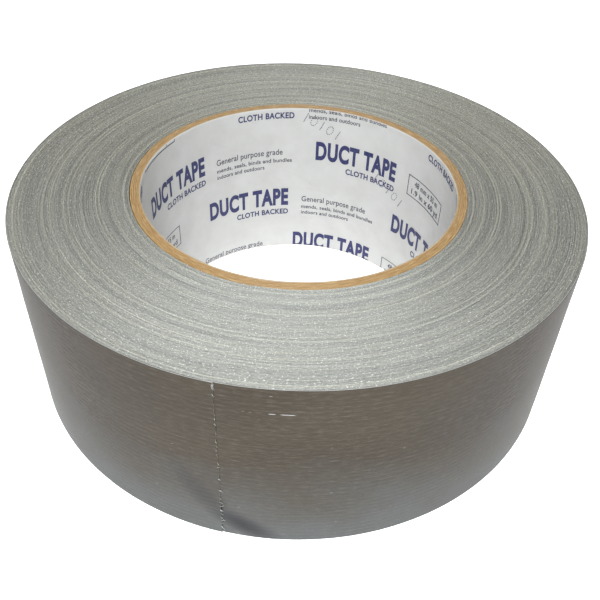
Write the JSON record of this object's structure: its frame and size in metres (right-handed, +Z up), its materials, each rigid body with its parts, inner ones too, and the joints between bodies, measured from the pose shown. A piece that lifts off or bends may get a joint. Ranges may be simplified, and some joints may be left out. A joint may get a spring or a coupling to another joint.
{
  "type": "duct tape roll",
  "caption": "Roll of wide silver cloth-backed adhesive tape on a paper core, with a liftable, peelable tape end.",
  "frame": {"origin": "on the roll's axis, in its bottom end face", "axes": "+Z up along the axis of the core; -Y towards the side from which the tape's cut end is seen, slightly to its left"},
  "size_m": [0.1359, 0.1357, 0.048],
  "materials": {
    "printed_liner": "matte",
    "kraft": "matte",
    "wound_edge": "matte",
    "film": "satin",
    "scrim": "matte",
    "adhesive": "satin"
  },
  "bodies": {
    "roll": {"core_liner": "printed_liner", "core_ply_1": "kraft", "core_ply_2": "kraft", "core_ply_3": "kraft", "core_ply_4": "kraft", "core_ply_5": "kraft", "wound_tape": "wound_edge", "outer_turn_backing": "film", "outer_turn_scrim": "scrim", "outer_turn_adhesive": "adhesive"},
    "free_end_1": {"free_end_backing_1": "film", "free_end_scrim_1": "scrim", "free_end_adhesive_1": "adhesive"},
    "free_end_2": {"free_end_backing_2": "film", "free_end_scrim_2": "scrim", "free_end_adhesive_2": "adhesive"},
    "free_end_3": {"free_end_backing_3": "film", "free_end_scrim_3": "scrim", "free_end_adhesive_3": "adhesive"},
    "free_end_4": {"free_end_backing_4": "film", "free_end_scrim_4": "scrim", "free_end_adhesive_4": "adhesive"},
    "free_end_5": {"free_end_backing_5": "film", "free_end_scrim_5": "scrim", "free_end_adhesive_5": "adhesive"},
    "free_end_6": {"free_end_backing_6": "film", "free_end_scrim_6": "scrim", "free_end_adhesive_6": "adhesive"},
    "free_end_7": {"free_end_backing_7": "film", "free_end_scrim_7": "scrim", "free_end_adhesive_7": "adhesive"},
    "free_end_8": {"free_end_backing_8": "film", "free_end_scrim_8": "scrim", "free_end_adhesive_8": "adhesive"},
    "free_end_9": {"free_end_backing_9": "film", "free_end_scrim_9": "scrim", "free_end_adhesive_9": "adhesive"},
    "free_end_10": {"free_end_backing_10": "film", "free_end_scrim_10": "scrim", "free_end_adhesive_10": "adhesive"}
  },
  "joints": [
    {"name": "peel_1", "type": "hinge", "parent": "roll", "child": "free_end_1", "pos_m": [-0.06467, -0.02101, 0.024], "axis": [0, 0, -1], "range_deg": [0, 15]},
    {"name": "peel_2", "type": "hinge", "parent": "free_end_1", "child": "free_end_2", "pos_m": [-0.06212, -0.02766, 0.024], "axis": [0, 0, -1], "range_deg": [0, 15]},
    {"name": "peel_3", "type": "hinge", "parent": "free_end_2", "child": "free_end_3", "pos_m": [-0.05889, -0.034, 0.024], "axis": [0, 0, -1], "range_deg": [0, 15]},
    {"name": "peel_4", "type": "hinge", "parent": "free_end_3", "child": "free_end_4", "pos_m": [-0.05502, -0.03997, 0.024], "axis": [0, 0, -1], "range_deg": [0, 15]},
    {"name": "peel_5", "type": "hinge", "parent": "free_end_4", "child": "free_end_5", "pos_m": [-0.05054, -0.04551, 0.024], "axis": [0, 0, -1], "range_deg": [0, 15]},
    {"name": "peel_6", "type": "hinge", "parent": "free_end_5", "child": "free_end_6", "pos_m": [-0.04551, -0.05054, 0.024], "axis": [0, 0, -1], "range_deg": [0, 15]},
    {"name": "peel_7", "type": "hinge", "parent": "free_end_6", "child": "free_end_7", "pos_m": [-0.03998, -0.05503, 0.024], "axis": [0, 0, -1], "range_deg": [0, 15]},
    {"name": "peel_8", "type": "hinge", "parent": "free_end_7", "child": "free_end_8", "pos_m": [-0.03401, -0.05891, 0.024], "axis": [0, 0, -1], "range_deg": [0, 15]},
    {"name": "peel_9", "type": "hinge", "parent": "free_end_8", "child": "free_end_9", "pos_m": [-0.02767, -0.06214, 0.024], "axis": [0, 0, -1], "range_deg": [0, 15]},
    {"name": "peel_10", "type": "hinge", "parent": "free_end_9", "child": "free_end_10", "pos_m": [-0.02102, -0.06469, 0.024], "axis": [0, 0, -1], "range_deg": [0, 15]}
  ],
  "couplings": [
    {"joint": "peel_2", "follows": "peel_1", "ratio": 1},
    {"joint": "peel_3", "follows": "peel_1", "ratio": 1},
    {"joint": "peel_4", "follows": "peel_1", "ratio": 1},
    {"joint": "peel_5", "follows": "peel_1", "ratio": 1},
    {"joint": "peel_6", "follows": "peel_1", "ratio": 1},
    {"joint": "peel_7", "follows": "peel_1", "ratio": 1},
    {"joint": "peel_8", "follows": "peel_1", "ratio": 1},
    {"joint": "peel_9", "follows": "peel_1", "ratio": 1},
    {"joint": "peel_10", "follows": "peel_1", "ratio": 1}
  ]
}
